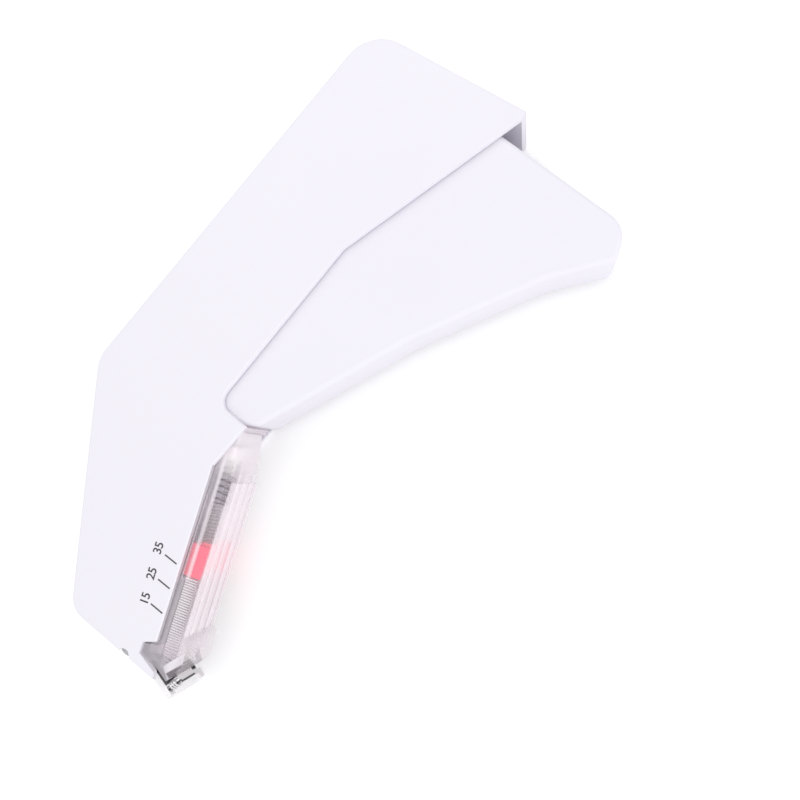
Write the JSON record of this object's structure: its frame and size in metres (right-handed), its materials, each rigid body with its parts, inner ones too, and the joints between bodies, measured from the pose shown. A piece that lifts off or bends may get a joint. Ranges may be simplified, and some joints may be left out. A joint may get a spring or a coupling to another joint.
{
  "type": "skin stapler",
  "caption": "Hand-held skin stapler with a two-shell case, squeeze trigger, clear staple magazine with red follower, and steel nose.",
  "frame": {"origin": "under the middle of the stapler's box, on the surface that it lies on (outer face of the far shell)", "axes": "+X the way the staple legs point, towards the open side; +Y up the magazine, from nose to rear; +Z through the thickness, from the far shell to the near shell"},
  "size_m": [0.1115, 0.162, 0.018],
  "materials": {
    "case_plastic": "satin moulded",
    "trigger_plastic": "satin moulded",
    "clear_plastic": "clear moulded, faint pink",
    "follower_plastic": "gloss",
    "acetal": "satin moulded",
    "staple_steel": "bright drawn wire",
    "plate_steel": "polished sheet",
    "spring_steel": "spring wire",
    "pin_steel": "ground"
  },
  "bodies": {
    "case": {"near_shell": "case_plastic", "far_shell": "case_plastic", "pivot_pin": "pin_steel", "slide_pins": "pin_steel", "staple_stack": "staple_steel", "magazine_body": "clear_plastic", "magazine_cover": "clear_plastic", "nose_guide": "clear_plastic", "nose_lip": "clear_plastic", "staple_rail": "clear_plastic", "anvil": "plate_steel", "follower_spring": "spring_steel", "return_spring": "spring_steel", "spring_stop": "acetal", "ejector_spring": "spring_steel"},
    "trigger_body": {"trigger": "trigger_plastic", "drive_lever": "acetal", "lever_pins": "pin_steel", "drive_pin": "pin_steel", "drive_roller": "acetal"},
    "ram_body": {"ram_carrier": "acetal", "ram_blade": "plate_steel", "ram_rivets": "pin_steel", "front_staple": "staple_steel"},
    "follower_body": {"follower": "follower_plastic"}
  },
  "joints": [
    {"name": "trigger_squeeze", "type": "hinge", "parent": "case", "child": "trigger_body", "pos_m": [-0.026, -0.011, 0.009], "axis": [0, 0, 1], "range_deg": [0, 10], "stiffness_Nm_per_rad": 0.8, "springref_deg": -8.59},
    {"name": "ram_slide", "type": "slide", "parent": "case", "child": "ram_body", "axis": [0.8387, -0.5446, 0], "range_m": [0, 0.0049], "deforming": ["return_spring", "front_staple"]},
    {"name": "follower_slide", "type": "slide", "parent": "case", "child": "follower_body", "axis": [0, 1, 0], "range_m": [0, 0.008], "stiffness_N_per_m": 60, "springref_m": -0.03, "deforming": ["follower_spring"]}
  ],
  "couplings": [
    {"joint": "ram_slide", "follows": "trigger_squeeze", "m_per_rad": 0.02795}
  ]
}
